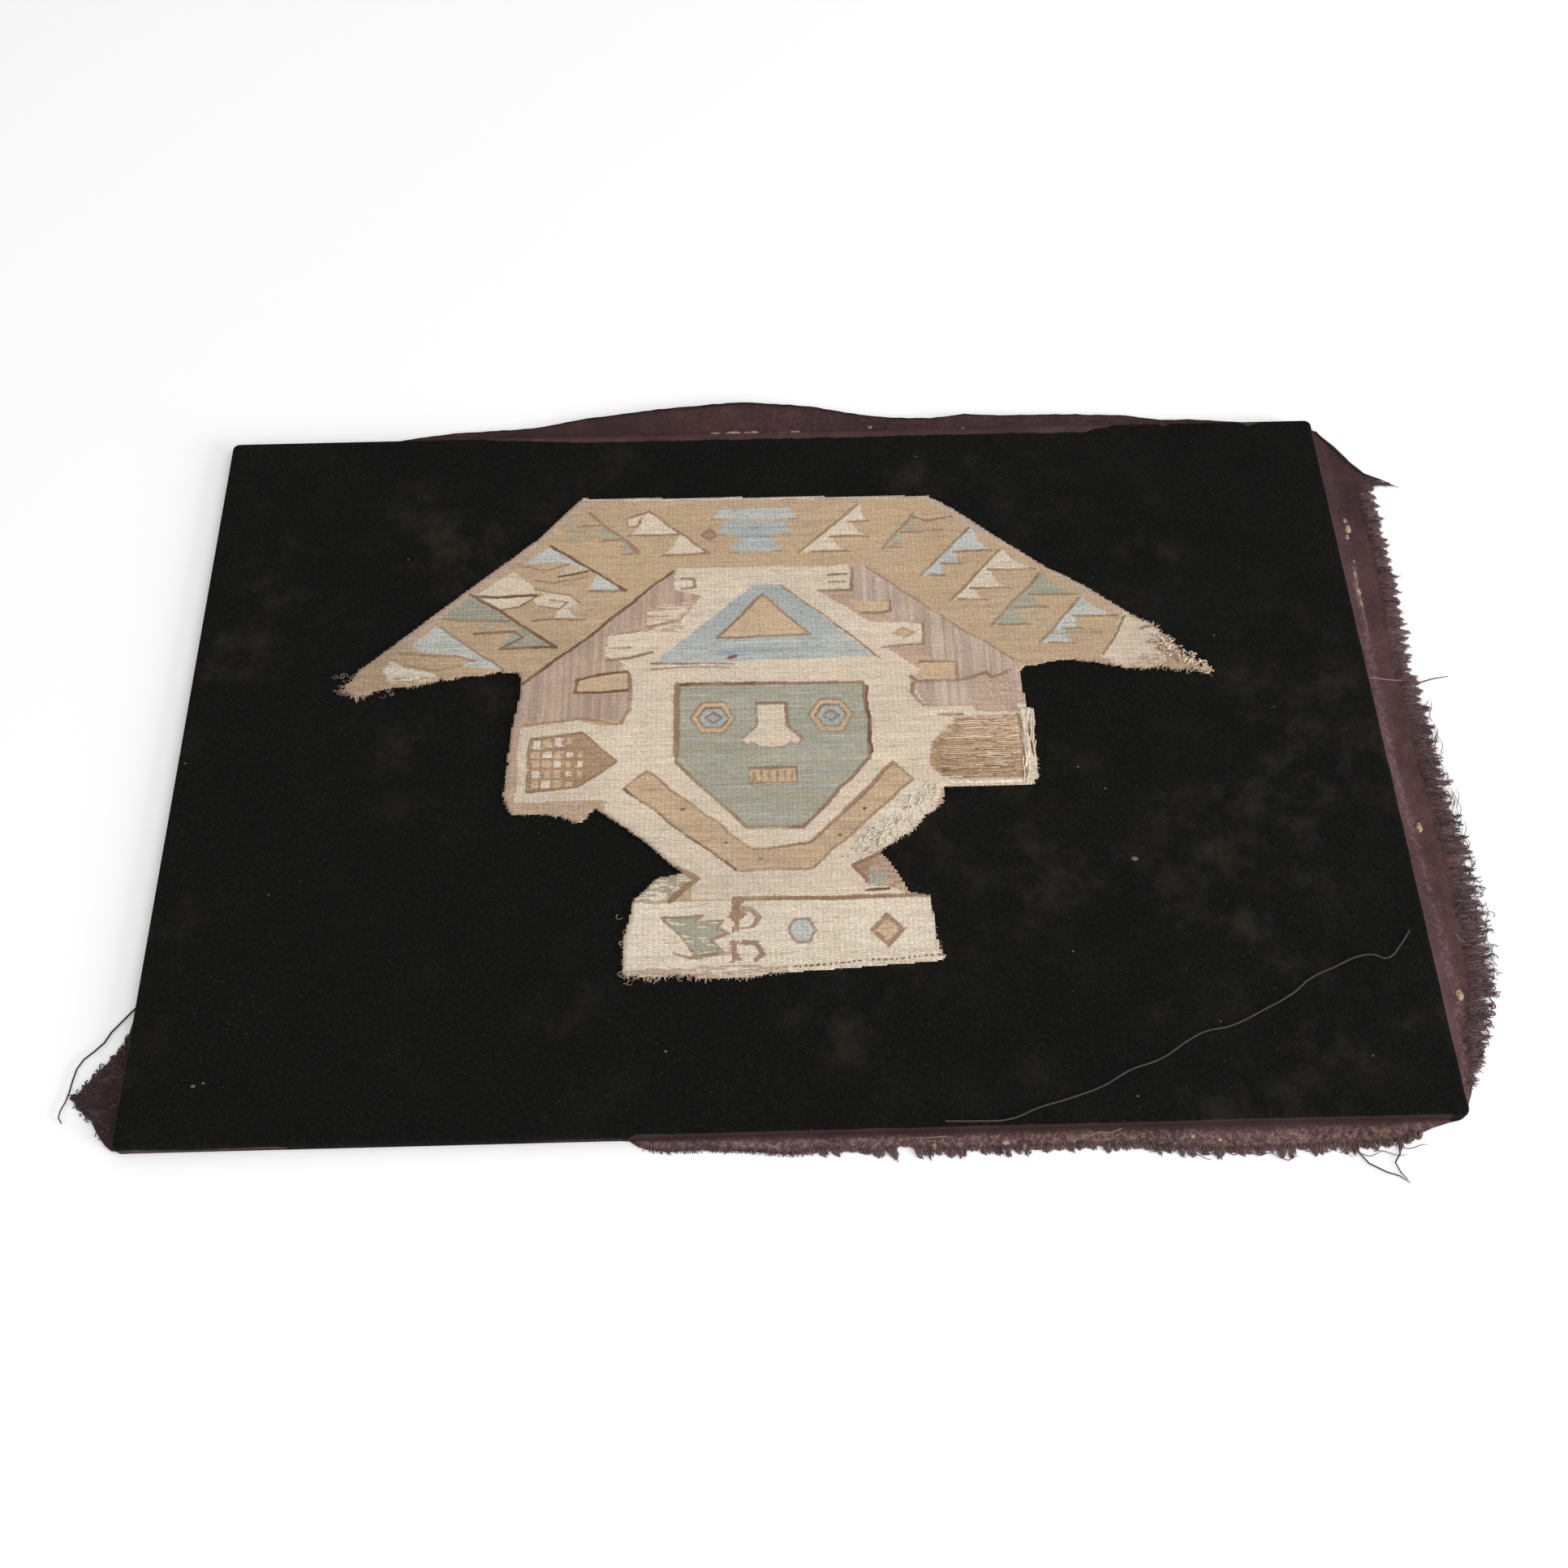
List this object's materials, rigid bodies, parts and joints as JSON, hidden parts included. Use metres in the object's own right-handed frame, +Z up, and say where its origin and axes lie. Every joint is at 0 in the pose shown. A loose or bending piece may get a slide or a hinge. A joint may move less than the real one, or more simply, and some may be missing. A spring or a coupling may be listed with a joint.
{
  "type": "textile fragment on a cloth-covered mount board",
  "caption": "Torn tapestry fragment of a masked head under a wide headdress, laid on a board covered in black cloth whose frayed margins spread on the table.",
  "frame": {"origin": "bottom centre of the box of everything but the loose thread, on the table", "axes": "+X to the right along the board's long side, +Y away from the viewer to the headdress side, +Z up out of the cloth's face"},
  "size_m": [0.5144, 0.3474, 0.0072],
  "materials": {
    "board": "plain grey-brown mount board",
    "black_cloth": "matt black plain weave with faint brown patches, maroon-brown at the loose margins",
    "tapestry_wool": "slit-tapestry wool in cream, tan, pale blue, lilac and brown, worn and frayed at the edges",
    "frayed_yarn": "unravelled maroon-brown yarn",
    "brown_thread": "loose brown sewing thread"
  },
  "bodies": {
    "root": {"mount_board": "board", "ground_cloth": "black_cloth", "tapestry": "tapestry_wool", "right_fringe": "frayed_yarn", "bottom_fringe": "frayed_yarn", "corner_fringe": "frayed_yarn", "loose_thread": "brown_thread"}
  },
  "joints": []
}
